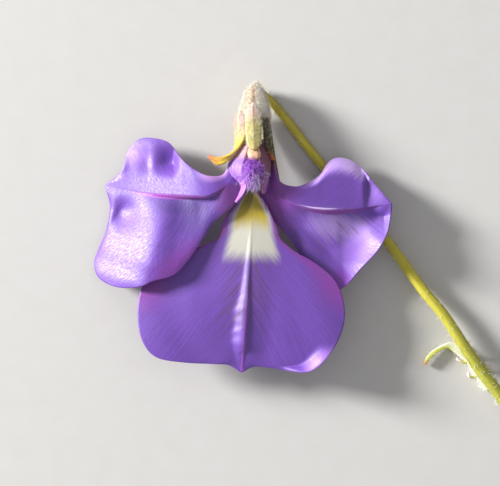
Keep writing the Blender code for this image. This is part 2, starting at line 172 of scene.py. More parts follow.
def round_tube(path, radii, sides, rings, ribs=0, rib_height=0.0, closed=(False, False)):
    """The points and faces of a round body along a smooth path, and their grain.

    The grain is each point's place on the same body pulled straight, so that no seam shows.
    closed says which of its two ends are rounded off.
    """
    centres = smooth_line(path, rings)
    run = np.concatenate([[0], np.cumsum(np.linalg.norm(np.diff(centres, axis=0), axis=1))])
    sizes = spread(radii, rings)
    for at_end, distance in zip(closed, (run, run[-1] - run)):
        if at_end:
            inside = np.clip(1 - distance / sizes.max(), 0, 1)
            sizes = sizes * np.sqrt(np.clip(1 - inside**2, 0.0004, 1))
    ahead = unit(np.gradient(centres, axis=0))
    across = unit(np.cross(ahead, (0, 0, 1)))
    upwards = np.cross(across, ahead)
    angles = 2 * np.pi * np.arange(sides) / sides
    spokes = np.cos(angles)[None, :, None] * across[:, None]
    spokes = spokes + np.sin(angles)[None, :, None] * upwards[:, None]
    swell = 1 + rib_height / np.maximum(sizes, 0.05)[:, None] * np.cos(ribs * angles)[None] * (ribs > 0)
    reach = sizes[:, None] * swell
    points = centres[:, None] + spokes * reach[:, :, None]
    grain = np.stack(
        [np.cos(angles) * reach, np.sin(angles) * reach, np.repeat(run[:, None], sides, 1)], axis=2
    )
    faces = []
    for i in range(rings - 1):
        for k in range(sides):
            n = (k + 1) % sides
            faces.append((i * sides + n, i * sides + k, (i + 1) * sides + k, (i + 1) * sides + n))
    faces.append(tuple(range(sides)))
    faces.append(tuple(reversed(range((rings - 1) * sides, rings * sides))))
    points = points.reshape(-1, 3)
    points[:, 2] = np.maximum(points[:, 2], 0.0)
    return points, faces, grain.reshape(-1, 3)


def add_piece(name, points, faces, material, node=None, fields=()):
    """One smooth piece that rides on the flower, with its fields stored on its points."""
    mesh = bpy.data.meshes.new(name)
    mesh.from_pydata(((points + THROAT) * MM).tolist(), [], faces)
    for field, values in dict(fields).items():
        vector = np.ndim(values) == 2
        store = mesh.attributes.new(field, "FLOAT_VECTOR" if vector else "FLOAT", "POINT")
        store.data.foreach_set("vector" if vector else "value", np.asarray(values, np.float32).ravel())
    mesh.shade_smooth()
    mesh.materials.append(material)
    piece = bpy.data.objects.new(name, mesh)
    bpy.context.scene.collection.objects.link(piece)
    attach(piece, "root")
    if node:
        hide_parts(node)
    return piece


stem_points, stem_faces, stem_grain = round_tube(
    STEM_PATH, STEM_RADII, sides=30, rings=320, ribs=STEM_RIBS, rib_height=STEM_RIB_HEIGHT
)
stem_run = stem_grain[:, 2] / stem_grain[:, 2].max()
# 1 on the stalk's lower left flank and -1 on its upper right one.
stem_flank = np.clip(stem_grain[:, 0] / 0.5, -1, 1)
# Stem skin: living green epidermis, grown smooth and faintly ribbed. It gives a soft, waxy gloss,
# with pale streaks along the stalk and brown painted shade on its upper right flank.
stem_skin = plant_skin(
    "stem epidermis", (STEM_GREEN, STEM_STREAK), (0.09, 2.2),
    [
        ("flush_and_painted_shade", STEM_PAINTED_SHADE, 0.2, 1.0, 0.5),
        ("fade", STEM_LOW, 0.5, 0.9, 0.3),
    ],
    cell=0.16, relief=0.006, roughness=0.5, glow=0.12, gloss=0.35,
)
add_piece(
    "stem_stalk", stem_points, stem_faces, stem_skin, "stem",
    {
        "grain": stem_grain,
        # Painted shade: brown on the upper right flank, the side away from the light.
        "flush_and_painted_shade": 0.9 * np.clip(-stem_flank, 0, 1) * np.clip(1.1 - stem_run, 0, 1),
        "fade": stem_run,
    },
)

# The stem's hairs. Stiff white hairs about half a millimetre long, each one a tapering tube that
# grows out of the skin. They stand thickest just below the flower.
HAIR_CREAM = "#DAD6A8"
HAIR_WHITE = "#F2F0E6"
# Real hairs are less than half as thick, too fine to show.
HAIR_RADIUS = 0.034
HAIR_ROOT_DEPTH = 0.03
STEM_HAIRS = 520
STEM_HAIR_LENGTHS = (0.3, 0.6)


def scatter(points, faces, count, rng, weight=None):
    """Roots spread at random over a surface, with the way each faces. A weight thins them."""
    corners = []
    for face in faces:
        if len(face) == 4:
            corners += [face[:3], (face[0], face[2], face[3])]
        elif len(face) == 3:
            corners.append(face)
    corners = np.array(corners)
    a, b, c = (points[corners[:, k]] for k in range(3))
    facing = np.cross(b - a, c - a)
    share = np.linalg.norm(facing, axis=1)
    if weight is not None:
        share = share * np.maximum(weight[corners].mean(axis=1), 0)
    picked = rng.choice(len(corners), count, p=share / share.sum())
    u, v = rng.random((2, count, 1))
    flip = u + v > 1
    u, v = np.where(flip, 1 - u, u), np.where(flip, 1 - v, v)
    roots = a[picked] + (b[picked] - a[picked]) * u + (c[picked] - a[picked]) * v
    return roots, unit(facing[picked])


def hair_material(name, colour, tip_colour):
    """Hair: the thin, clear wall of a dead cell, which looks silky, and paler towards its tip."""
    material = bpy.data.materials.new(name)
    material.use_nodes = True
    tree = material.node_tree
    shader = tree.nodes["Principled BSDF"]
    along = add_node(tree, "Attribute", {}, attribute_name="tip").outputs["Fac"]
    shade = add_node(
        tree, "Mix", {"Factor": along, "A": linear(colour), "B": linear(tip_colour)}, data_type="RGBA"
    )
    tree.links.new(shade.outputs[2], shader.inputs["Base Color"])
    shader.inputs["Roughness"].default_value = 0.4
    shader.inputs["Subsurface Weight"].default_value = 0.3
    shader.inputs["Subsurface Scale"].default_value = 0.2 * MM
    return material


def add_hairs(name, roots, facing, material, rng, lengths, radius, lean=(0, 0, 0), wild=0.35,
              curl=0.3, joints=4):
    """Tapering three-sided hairs, all in one piece. They lean one way, stray and curl."""
    count = len(roots)
    size = rng.uniform(*lengths, (count, 1))
    way = unit(facing + np.array(lean) + rng.normal(0, wild, (count, 3)))
    bend = unit(np.cross(way, rng.normal(0, 1, (count, 3)))) * curl
    side = unit(np.cross(way, (0.3, 0.2, 0.9)))
    other = np.cross(way, side)
    rings = []
    for j in range(joints):
        t = j / joints
        centre = roots - way * HAIR_ROOT_DEPTH + (way * t + bend * t * t) * size
        thick = radius * (1 - 0.75 * t)
        for k in range(3):
            angle = 2 * np.pi * k / 3
            rings.append(centre + (side * np.cos(angle) + other * np.sin(angle)) * thick)
    rings.append(roots - way * HAIR_ROOT_DEPTH + (way + bend) * size)
    points = np.stack(rings, axis=1)
    per_hair = 3 * joints + 1
    pattern = [(0, 2, 1)]
    for j in range(joints - 1):
        for k in range(3):
            n = (k + 1) % 3
            pattern.append((3 * j + k, 3 * j + n, 3 * j + 3 + n, 3 * j + 3 + k))
    last = 3 * (joints - 1)
    pattern += [(last + k, last + (k + 1) % 3, per_hair - 1) for k in range(3)]
    faces = [tuple(i * per_hair + p for p in face) for i in range(count) for face in pattern]
    points = points.reshape(-1, 3)
    points[:, 2] = np.clip(points[:, 2], 0.01, None)
    tip = np.tile(np.repeat(np.arange(joints + 1) / joints, [3] * joints + [1]), count)
    return add_piece(name, points, faces, material, None, {"tip": tip})


stem_rng = np.random.default_rng(11)
# Thickest at the stalk's top, and a little thicker again where the leaf grows.
stem_thick = 0.22 + np.clip(1 - stem_run / 0.22, 0, 1) + 0.35 * (stem_run > 0.75)
stem_roots, stem_facing = scatter(stem_points, stem_faces, STEM_HAIRS, stem_rng, stem_thick)
# Stem hair: cream at the root and white at the tip, which makes each hair show on the green.
stem_hair = hair_material("stem hair", HAIR_CREAM, HAIR_WHITE)
add_hairs(
    "stem_hairs", stem_roots, stem_facing, stem_hair, stem_rng,
    lengths=STEM_HAIR_LENGTHS, radius=HAIR_RADIUS,
)

# The leaf. A small thin blade that grows from the stem's underside and bends away from it, with
# four gland-tipped teeth that curl up from its margins. It is pale and downy, with an orange tip.
LEAF_INNER = [
    (23.6, -20.1, 0.3), (22.75, -18.8, 0.3), (22.0, -17.5, 0.3), (21.3, -16.9, 0.3),
    (20.4, -16.2, 0.35), (19.9, -15.95, 0.4), (19.2, -16.2, 0.5), (18.4, -16.75, 0.6),
    (17.6, -17.6, 0.5),
]
LEAF_RIB = [
    (23.9, -20.2, 0.3), (22.9, -18.6, 0.3), (21.8, -17.0, 0.3), (20.8, -15.9, 0.32),
    (19.9, -15.65, 0.4), (19.2, -15.95, 0.5), (18.4, -16.5, 0.6), (17.9, -17.1, 0.6),
    (17.6, -17.6, 0.5),
]
LEAF_OUTER = [
    (24.1, -19.9, 0.3), (23.6, -18.2, 0.3), (22.8, -16.8, 0.3), (21.6, -15.6, 0.3),
    (20.6, -15.35, 0.35), (19.9, -15.4, 0.4), (19.2, -15.7, 0.5), (18.4, -16.2, 0.6),
    (17.8, -16.85, 0.6), (17.6, -17.6, 0.5),
]
LEAF_THICKNESS = 0.5
LEAF_GREEN = "#E4E66C"
LEAF_STREAK = "#D8DC5A"
LEAF_PAINTED_HIGHLIGHT = "#EEF1D8"
LEAF_TIP = "#DF9A4C"
TOOTH_PINK = "#FBE6E2"
LEAF_TEETH = [
    [(22.3, -17.3, 0.35), (21.6, -17.35, 0.45), (21.2, -17.2, 0.5), (20.8, -16.95, 0.55)],
    [(23.1, -18.6, 0.35), (22.6, -18.85, 0.4), (22.2, -18.8, 0.5), (21.98, -18.35, 0.6)],
    [(23.2, -18.0, 0.35), (23.85, -18.05, 0.45), (24.05, -17.65, 0.5), (23.7, -17.3, 0.6)],
    [(22.5, -16.9, 0.35), (23.0, -16.75, 0.4), (22.95, -16.5, 0.5), (22.75, -16.4, 0.55)],
]
TOOTH_RADII = (0.17, 0.14, 0.13, 0.15, 0.13)
LEAF_HAIRS = 170


def blade(lines, rows, half_columns, thickness, bows=((0, 0), (0, 0)), claw=(0, 0), relief=None,
          slants=(0, 0)):
    """A thin blade between two margins and a rib: its points, its faces and its fields.

    bows are each half's bulge from base to tip, claw the rows given to a narrow base and the point
    of the lines where it ends, relief the lift of each point, and slants how far the veins lean.
    The fields are grain (across and along the veins, in mm), side (-1 to 1 across the rib) and
    along (0 at the base, 1 at the tip).
    """
    first, rib, second = [smooth_line(line, rows + 1, *claw) for line in lines]
    clear = rows + 1 - claw[0]
    lifts = [np.concatenate([np.zeros(claw[0]), spread(bow, clear)]) for bow in bows]
    even = np.arange(-half_columns, half_columns + 1) / half_columns
    side = np.sign(even) * 0.5 * (1 - np.cos(np.pi * np.abs(even)))
    side = 0.6 * side + 0.4 * even
    t = np.abs(side)[None, :, None]
    margin = np.where(side[None, :, None] < 0, first[:rows, None], second[:rows, None])
    grid = rib[:rows, None] * (1 - t) + margin * t
    lift = np.where(side[None] < 0, lifts[0][:rows, None], lifts[1][:rows, None])
    grid[:, :, 2] += lift * 4 * t[:, :, 0] * (1 - t[:, :, 0])
    along = np.repeat(np.linspace(0, 1, rows, endpoint=False)[:, None], len(side), 1)
    across = np.repeat(side[None], rows, 0)
    if relief:
        grid[:, :, 2] += relief(grid[:, :, 0], grid[:, :, 1], across, along)
    tip = rib[-1]
    normals = unit(np.cross(np.gradient(grid, axis=1), np.gradient(grid, axis=0)))
    normals *= np.sign(normals[:, :, 2:].mean() + 1e-6)
    reach = np.linalg.norm(grid - grid[:, half_columns : half_columns + 1], axis=2)
    run = np.concatenate([[0], np.cumsum(np.linalg.norm(np.diff(rib, axis=0), axis=1))])
    vein = run[:rows, None] - spread(slants, rows)[:, None] * reach
    # The halves' grains lie 6 mm apart, so that each half has streaks of its own.
    grain = np.stack([vein, np.sign(across) * 3.0, reach], axis=2)
    # The blade thins to less than half at its margins.
    thin = thickness / 2 * (1 - 0.55 * np.abs(across) ** 8)
    skins = []
    for way in (1, -1):
        skin = (grid + normals * (thin * way)[:, :, None]).reshape(-1, 3)
        skins.append(np.vstack([skin, tip + (0, 0, way * thickness / 8)]))
    columns = len(side)
    end = rows * columns
    top = []
    for i in range(rows - 1):
        for j in range(columns - 1):
            a = i * columns + j
            top.append((a, a + 1, a + columns + 1, a + columns))
    for j in range(columns - 1):
        a = (rows - 1) * columns + j
        top.append((a, a + 1, end))
    size = end + 1
    under = [tuple(reversed([p + size for p in face])) for face in top]
    loop = list(range(columns)) + [i * columns + columns - 1 for i in range(1, rows)] + [end]
    loop += [i * columns for i in range(rows - 1, 0, -1)]
    rim = [(a, a + size, b + size, b) for a, b in zip(loop, loop[1:] + loop[:1])]
    rough = np.cross(grid[0, 1] - grid[0, 0], grid[1, 0] - grid[0, 0])
    faces = top + under + rim
    if rough @ normals[0, 0] < 0:
        faces = [tuple(reversed(face)) for face in faces]
    points = np.vstack(skins)
    points[:, 2] = np.maximum(points[:, 2], 0.0)

    def both(values, last):
        one = np.concatenate([values.reshape(end, -1), np.reshape(last, (1, -1))])
        return np.squeeze(np.vstack([one, one]))

    fields = {
        "grain": both(grain, (run[-1], 0.0, 0.0)),
        "side": both(across, 0.0),
        "along": both(along, 1.0),
    }
    return points, faces, fields


def join_parts(parts):
    """The points, faces and fields of several bodies as one."""
    points = np.vstack([part[0] for part in parts])
    faces = []
    start = 0
    for part in parts:
        faces += [tuple(p + start for p in face) for face in part[1]]
        start += len(part[0])
    fields = {name: np.concatenate([part[2][name] for part in parts]) for name in parts[0][2]}
    return points, faces, fields


leaf_points, leaf_faces, leaf_fields = blade(
    (LEAF_INNER, LEAF_RIB, LEAF_OUTER), rows=110, half_columns=10, thickness=LEAF_THICKNESS
)
# A painted highlight: pale all over up to its bend, and beyond that only along its outer margin.
leaf_painted_highlight = leaf_fields["side"] + np.interp(leaf_fields["along"], (0.5, 0.66, 0.8), (1.8, 0.4, -0.6))
leaf_parts = [
    (
        leaf_points, leaf_faces,
        {
            "grain": leaf_fields["grain"],
            "pale": leaf_painted_highlight,
            "tip": np.clip(leaf_fields["along"] * 9 - 8, 0, 1),
            "gland": np.zeros(len(leaf_points)),
        },
    )
]
for tooth in LEAF_TEETH:
    tooth_points, tooth_faces, tooth_grain = round_tube(
        tooth, TOOTH_RADII, sides=12, rings=30, closed=(False, True)
    )
    tooth_run = tooth_grain[:, 2] / tooth_grain[:, 2].max()
    leaf_parts.append(
        (
            tooth_points, tooth_faces,
            {
                "grain": tooth_grain,
                "pale": np.full(len(tooth_run), -0.4),
                "tip": np.zeros(len(tooth_run)),
                "gland": tooth_run,
            },
        )
    )
# Leaf skin: a downy epidermis, soft and matt, with a pale painted highlight up to its bend.
leaf_skin = plant_skin(
    "leaf epidermis", (LEAF_GREEN, LEAF_STREAK), (0.08, 0.8),
    [
        ("pale", LEAF_PAINTED_HIGHLIGHT, -0.2, 0.6, 0.4),
        ("tip", LEAF_TIP, 0.1, 0.9, 0.2),
        ("gland", TOOTH_PINK, 0.45, 0.8, 0.1),
    ],
    cell=0.14, relief=0.008, roughness=0.5, glow=0.2,
)
leaf_all = join_parts(leaf_parts)
add_piece("leaf_blade", leaf_all[0], leaf_all[1], leaf_skin, "leaf", leaf_all[2])
leaf_rng = np.random.default_rng(23)
leaf_roots, leaf_facing = scatter(
    leaf_points, leaf_faces, LEAF_HAIRS, leaf_rng, 0.15 + (np.abs(leaf_fields["side"]) > 0.75)
)
add_hairs(
    "leaf_hairs", leaf_roots, leaf_facing, stem_hair, leaf_rng,
    lengths=(0.2, 0.36), radius=HAIR_RADIUS,
)

# The ovary. The flower's seed case, a cream cone with a faint seam down its front, grown in one
# piece with the stem's end above it and the calyx below. A dense coat of white hairs covers it.
OVARY_PATH = [(0.7, 10.8, 1.75), (0.6, 10.3, 2.15), (0.5, 9.5, 2.35), (0.5, 8.3, 2.5), (0.45, 7.0, 2.7)]
OVARY_RADII = (0.3, 0.54, 0.8, 1.0, 1.15, 1.3, 1.42, 1.5, 1.45)
OVARY_CREAM = "#D3BFA4"
OVARY_SHADE = "#BEA68A"
OVARY_PINK = "#B07C6C"
OVARY_PAINTED_LIGHT = "#F3EEE4"
OVARY_BASE = "#CC9A92"
OVARY_MIDDLE = 0.45
SEAM_PLACE = 0.27
SEAM_WIDTH = 0.14
SEAM_FLOOR = 2.3
OVARY_HAIRS = 2600
DOWN_ROOT = "#E0D6C4"
DOWN_TIP = "#F2EEE6"
ovary_points, ovary_faces, ovary_grain = round_tube(
    OVARY_PATH, OVARY_RADII, sides=60, rings=90, ribs=10, rib_height=0.035, closed=(True, False)
)
ovary_run = ovary_grain[:, 2] / ovary_grain[:, 2].max()
seam = np.exp(-((ovary_points[:, 0] - SEAM_PLACE) / SEAM_WIDTH) ** 2)
seam = seam * (ovary_points[:, 2] > SEAM_FLOOR)
# Ovary skin: soft, thin epidermis that lets light glow through, so it looks like warm wax. Painted
# light makes its right flank whiter, and it is pink along its seam and at the calyx.
ovary_skin = plant_skin(
    "ovary epidermis", (OVARY_CREAM, OVARY_SHADE), (0.12, 1.2),
    [
        ("flank", OVARY_PAINTED_LIGHT, 0.0, 0.6, 0.3),
        ("seam", OVARY_PINK, 0.1, 1.2, 0.3),
        ("base", OVARY_BASE, 0.75, 1.15, 0.3),
    ],
    cell=0.12, relief=0.015, roughness=0.6, glow=0.6,
)
add_piece(
    "ovary_case", ovary_points, ovary_faces, ovary_skin, "ovary",
    {
        "grain": ovary_grain,
        "seam": seam,
        "base": ovary_run,
        # Painted light: whiter towards the right flank, which lies in shade.
        "flank": ovary_points[:, 0] - OVARY_MIDDLE,
    },
)
# Down: short and dense, paler at the tip, which gives the case its soft, bright outline.
down_hair = hair_material("downy hair", DOWN_ROOT, DOWN_TIP)
ovary_rng = np.random.default_rng(31)
ovary_roots, ovary_facing = scatter(ovary_points, ovary_faces, OVARY_HAIRS, ovary_rng)
add_hairs(
    "ovary_hairs", ovary_roots, ovary_facing, down_hair, ovary_rng,
    lengths=(0.2, 0.42), radius=0.022, lean=(0, 0.25, 0), joints=3,
)

# The sepals. Five narrow straps that grow from the ovary's rim and hug the flower's tube. Each has
# a raised rib and downy hairs. The three at the front have warm orange tips, and the left one is
# yellow and curls right out. The two on the right are painted dark, as shade.
SEPAL_ORANGE = "#C9692F"
SEPAL_THICKNESS = 0.3


def strap_lines(rib, widths, across_base, across_tip, droop=0.2):
    """The margins of a strap on each side of its rib, from its widths and the way it faces."""
    rows = len(rib)
    line = np.array(rib, float)
    wide = spread(widths, rows)
    one, two = [], []
    for i, point in enumerate(line):
        part = i / (rows - 1)
        across = unit(np.array(across_base) * (1 - part) + np.array(across_tip) * part)
        ahead = line[min(i + 1, rows - 1)] - line[max(i - 1, 0)]
        sag = unit(np.cross(across, ahead)) * droop * wide[i] / max(widths)
        one.append(point - across * wide[i] / 2 + sag)
        two.append(point + across * wide[i] / 2 + sag)
    return one, rib, two


# Each sepal's name, its widths, the way across it at its base and at its tip, its rib, its pale and
# dark shades, its rib's colour, the flush near the calyx's rim, how orange its tip is, and its hairs.
# On the two right sepals the shades and the flush are dark painted shade.
SEPALS = [
    (
        "sepal_front",
        (0.3, 0.9, 1.25, 1.42, 1.52, 1.58, 1.6, 1.6, 1.58, 1.56, 1.52, 1.47, 1.4, 1.28, 1.05, 0.5),
        (1, 0, 0), (1, 0, 0),
        [(0.35, 8.7, 3.6), (0.33, 7.9, 4.1), (0.33, 6.7, 4.55), (0.35, 5.5, 4.9), (0.38, 4.6, 5.1),
         (0.4, 3.9, 5.2)],
        "#CCC288", "#AAA050", "#A8645A", "#DCC2B8", 0.5, 700,
    ),
    (
        "sepal_left", (0.7, 1.5, 1.6, 1.2, 1.0, 0.8, 0.3), (0.7, 0, 0.7), (0.1, 0.95, -0.2),
        [(-0.95, 7.9, 3.1), (-1.1, 7.0, 3.5), (-1.05, 5.4, 3.75), (-1.3, 4.2, 4.2), (-2.1, 3.25, 4.6),
         (-3.2, 2.85, 4.55), (-4.15, 3.35, 4.2)],
        "#D8BE4A", "#CCA61C", "#DCCF90", "#B08E84", 1.0, 560,
    ),
    # The right sepal's dark greens and brown are painted shade of the calyx's shaded right side.
    (
        "sepal_right", (0.3, 1.4, 1.45, 1.1, 0.5), (0.35, 0, -0.94), (0.35, 0, -0.94),
        [(1.35, 8.2, 2.7), (1.75, 7.0, 3.3), (1.85, 5.2, 3.6), (2.0, 4.0, 3.9), (2.4, 2.95, 4.2)],
        "#46421A", "#2E2A0E", "#8E8650", "#5A4030", 0.8, 260,
    ),
    (
        "sepal_back_left", (1.3, 1.5, 1.5, 1.3, 0.5), (0.9, 0, -0.4), (0.95, 0, -0.3),
        [(-0.35, 7.8, 1.2), (-0.55, 6.5, 1.35), (-0.75, 5.0, 1.6), (-1.2, 3.0, 2.0), (-2.2, 1.0, 2.5)],
        "#CFC78A", "#B8AD58", "#D8D2A4", "#D3AFA6", 0.0, 500,
    ),
    # The back right sepal's darker greens and brown are painted shade as well.
    (
        "sepal_back_right", (1.3, 1.5, 1.5, 1.3, 0.5), (0.9, 0, 0.4), (0.95, 0, 0.3),
        [(1.15, 7.8, 1.2), (1.35, 6.5, 1.35), (1.55, 5.0, 1.6), (2.0, 2.8, 1.9), (2.8, 0.6, 2.4)],
        "#837A22", "#5F5A18", "#A39B4A", "#8A6E5C", 0.0, 500,
    ),
]
sepal_rng = np.random.default_rng(41)
for name, widths, across_base, across_tip, rib, pale, dark, ridge, flush_and_painted_shade, orange, hairs in SEPALS:
    lines = strap_lines(rib, widths, across_base, across_tip)
    strap_points, strap_faces, strap_fields = blade(
        lines, rows=90, half_columns=12, thickness=SEPAL_THICKNESS
    )
    # Sepal skin: thin green or yellow epidermis, soft under its down and with little gloss.
    sepal_skin = plant_skin(
        name + " epidermis", (pale, dark), (0.1, 0.9),
        [
            ("rim", flush_and_painted_shade, 0.1, 0.9, 0.6),
            ("rib", ridge, 0.2, 1.0, 0.3),
            ("hot", SEPAL_ORANGE, 0.2, 1.0, 0.2),
        ],
        cell=0.12, relief=0.012, roughness=0.55, glow=0.2,
    )
    along = strap_fields["along"]
    rib_share = np.clip(1.4 - np.abs(strap_fields["side"]) / 0.1, 0, 1)
    add_piece(
        name + "_strap", strap_points, strap_faces, sepal_skin, name,
        {
            "grain": strap_fields["grain"][:, [1, 2, 0]],
            "rib": rib_share * np.clip(1.1 - 1.3 * along, 0, 1),
            "rim": np.clip(1.15 - along / 0.5, 0, 1),
            "hot": orange * np.clip(along * 3.2 - 2.2, 0, 1),
        },
    )
    roots, facing = scatter(strap_points, strap_faces, hairs, sepal_rng, np.clip(1.3 - along, 0.2, 1))
    add_hairs(
        name + "_hairs", roots, facing, down_hair, sepal_rng,
        lengths=(0.15, 0.34), radius=0.02, lean=(0, 0.2, 0), joints=3,
    )

# The petals. The flower is one thin tube that splits into five lobes. Each is a fraction of a
# millimetre thick, violet all through, with a skin of tiny velvety bumps and fine veins that fan
# out from its rib. The middle one is the broadest, with a keel and a yellow and white throat.
PETAL_THICKNESS = 0.26
PETAL_ROWS = 150
PETAL_HALF_COLUMNS = 34
# The rows that the narrow claw takes, and the point of each line where it ends.
PETAL_CLAW = (24, 2)
VIOLET = "#7140B2"
VIOLET_VEIN = "#6638A2"
MAGENTA = "#8A2F9E"
VEIN_BROWN = "#62396E"
THROAT_WHITE = "#CDCABB"
THROAT_YELLOW = "#BCA404"
THROAT_PAINTED_SHADE = "#7C6E00"
MIDDLE_LEFT = [
    (-0.1, 5.0, 2.4), (-0.4, 2.6, 3.15), (-0.6, -0.3, 3.7), (-1.6, -1.5, 3.75), (-2.7, -3.1, 3.7),
    (-2.9, -4.2, 3.7), (-3.4, -5.0, 3.6), (-4.9, -5.6, 3.5), (-7.4, -6.6, 3.4), (-9.8, -8.4, 3.2),
    (-10.9, -10.0, 3.15), (-11.25, -12.4, 3.35), (-10.8, -15.0, 3.5), (-9.4, -16.7, 3.5),
    (-6.6, -17.25, 3.45), (-3.6, -17.4, 3.3), (-2.2, -17.5, 3.1), (-0.85, -18.3, 3.0),
]
MIDDLE_RIB = [
    (0.4, 5.0, 2.35), (0.3, 2.6, 3.1), (0.1, 0.0, 3.7), (0.1, -3.9, 3.8), (-0.1, -7.4, 3.7),
    (-0.3, -10.9, 3.6), (-0.6, -15.0, 3.4), (-0.85, -18.3, 3.0),
]
MIDDLE_RIGHT = [
    (0.9, 5.0, 2.4), (0.9, 2.6, 3.15), (0.75, -0.1, 3.7), (1.5, -1.2, 3.75), (2.3, -2.9, 3.75),
    (2.75, -3.9, 3.75), (3.05, -4.9, 3.7), (4.6, -6.2, 3.6), (6.5, -7.3, 3.5), (8.4, -8.9, 3.45),
    (9.3, -10.9, 3.45), (9.45, -13.0, 3.45), (8.8, -15.1, 3.4), (7.6, -16.9, 3.3),
    (6.1, -18.1, 3.1), (4.4, -18.15, 3.0), (2.0, -17.8, 3.0), (0.35, -17.7, 3.0),
    (-0.85, -18.3, 3.0),
]
# How high and how wide the keel is at some places along the petal. Its low right corner curls up.
KEEL_YS = (-18.5, -17.3, -16.4, -15.5, -13.5, -11.8, -10.0, -7.5, -6.0, -4.5, -3.5)
KEEL_HEIGHTS = (0.0, 0.08, 0.15, 0.5, 0.58, 0.54, 0.36, 0.2, 0.08, 0.025, 0.0)
KEEL_WIDTHS = (0.5, 0.7, 0.9, 1.3, 1.3, 1.3, 0.7, 0.45, 0.3, 0.2, 0.2)
CURL_HEIGHT = 1.1


def patch(x, y, centre, radii, turn=0.0):
    """A soft round patch of strength 1 at a place, for the washes of a petal."""
    c, s = math.cos(math.radians(turn)), math.sin(math.radians(turn))
    u = ((x - centre[0]) * c + (y - centre[1]) * s) / radii[0]
    v = ((y - centre[1]) * c - (x - centre[0]) * s) / radii[1]
    return np.exp(-(u**2) - v**2)


def ease(values, start, full):
    """0 before the start, 1 past the full value, and a smooth step between."""
    part = np.clip((values - start) / (full - start), 0, 1)
    return part * part * (3 - 2 * part)


def keel_place(y):
    """Where the keel's crest lies at each height of the petal."""
    return np.interp(-y, [-p[1] for p in MIDDLE_RIB], [p[0] for p in MIDDLE_RIB])


def middle_relief(x, y, side, along):
    """The keel, with an even left side and a sharp drop on its right, the curled corner, a swell."""
    height = np.interp(y, KEEL_YS, KEEL_HEIGHTS)
    width = np.interp(y, KEEL_YS, KEEL_WIDTHS) * (1 + 0.1 * np.sin(4.3 * y) * np.sin(1.7 * y))
    gap = x - keel_place(y)
    far_side = 0.5 * ease(gap, 0, 0.22) + 0.5 * ease(gap, 0, 2.8)
    ridge = height * np.where(gap < 0, ease(gap, -width, 0), 1 - far_side)
    corner = ease(side, 0.83, 1.0) * ease(along, 0.7, 0.76) * (1 - ease(along, 0.82, 0.88))
    swell = 0.05 * np.sin(1.1 * x + 0.5 * y) * ease(np.abs(side), 0.2, 0.8) * ease(along, 0.35, 0.6)
    return ridge + CURL_HEIGHT * corner + swell


def petal_skin(name, washes):
    """Petal skin: living epidermis whose cells are tiny domes, which gives a velvety sheen.

    The real domes are 0.03 mm across, too fine to show, and are drawn as 0.13 mm.
    """
    return plant_skin(
        name, (VIOLET, VIOLET_VEIN), (0.22, 2.0), washes, cell=0.13, relief=0.022, roughness=0.54,
        glow=0.15, sheen=0.5, gloss=1.0, furrow=0.012,
    )


middle_points, middle_faces, middle_fields = blade(
    (MIDDLE_LEFT, MIDDLE_RIB, MIDDLE_RIGHT), PETAL_ROWS, PETAL_HALF_COLUMNS, PETAL_THICKNESS,
    bows=((0, 0, 0, 0.1, 0, 0), (0, 0, 0, 0.1, 0, 0)), claw=PETAL_CLAW, relief=middle_relief,
    slants=(3, 3, 3, 2, 1, 0.8, 0.6),
)
mx, my = middle_points[:, 0], middle_points[:, 1]
# How far inside the edge of the throat's yellow and of its white each point lies.
off_middle = np.abs(mx - 0.12)
yellow_edge = np.interp(my, (-4.5, -2.7, -1.0, 0.1, 0.7), (2.0, 1.75, 1.0, 0.5, 0.1)) - off_middle
white_edge = np.interp(my, (-7.4, -6.5, -4.6, -2.5, -0.3, 0.5), (3.1, 3.0, 2.5, 2.2, 0.8, 0.2))
white_edge = white_edge - off_middle
keel_side = np.abs(mx - keel_place(my))
middle_skin = petal_skin(
    "middle petal epidermis",
    [
        ("claw", "#7A3492", 0.0, 1.0, 0.3),
        ("rim", MAGENTA, 0.2, 1.3, 0.3),
        ("veins", VEIN_BROWN, 0.3, 1.2, 2.2),
        ("crest", "#9A4EC4", 0.2, 0.9, 0.2),
        # Painted highlight: a paler violet on the curled low right corner, where it catches the light.
        ("corner", "#A678DC", 0.1, 0.9, 0.2),
        ("white", THROAT_WHITE, -0.1, 1.1, 1.1),
        ("yellow", THROAT_YELLOW, 0.0, 0.8, 0.8),
        # Painted shade: the yellow turns olive at its top, under the anthers' shadow.
        ("painted_anther_shadow", THROAT_PAINTED_SHADE, 0.2, 1.3, 0.6),
    ],
)
add_piece(
    "petal_middle_blade", middle_points, middle_faces, middle_skin, "petal_middle",
    {
        **middle_fields,
        "rim": ease(np.abs(middle_fields["side"]), 0.5, 0.95) * ease(my, -15.0, -9.5),
        "claw": ease(my, -1.5, 0.5),
        "veins": 0.62 * (1 - ease(keel_side, 1.0, 4.6)) * ease(my, -17.5, -12.0) * ease(-my, 5.4, 6.4),
        "crest": (1 - ease(keel_side, 0.05, 0.2)) * (1 - ease(my, -11.0, -9.0)),
        # Painted highlight on the curled corner.
        "corner": patch(mx, my, (7.2, -17.3), (2.6, 1.0), 36),
        "white": np.minimum(white_edge / 0.8, (my + 7.4) / 1.5),
        "yellow": np.minimum(yellow_edge / 0.45, (my + 4.4) / 2.4),
        # Painted shade at the top of the yellow, where the anthers cast their shadow.
        "painted_anther_shadow": np.minimum(yellow_edge / 0.4, (my + 3.0) / 1.6),
    },
)

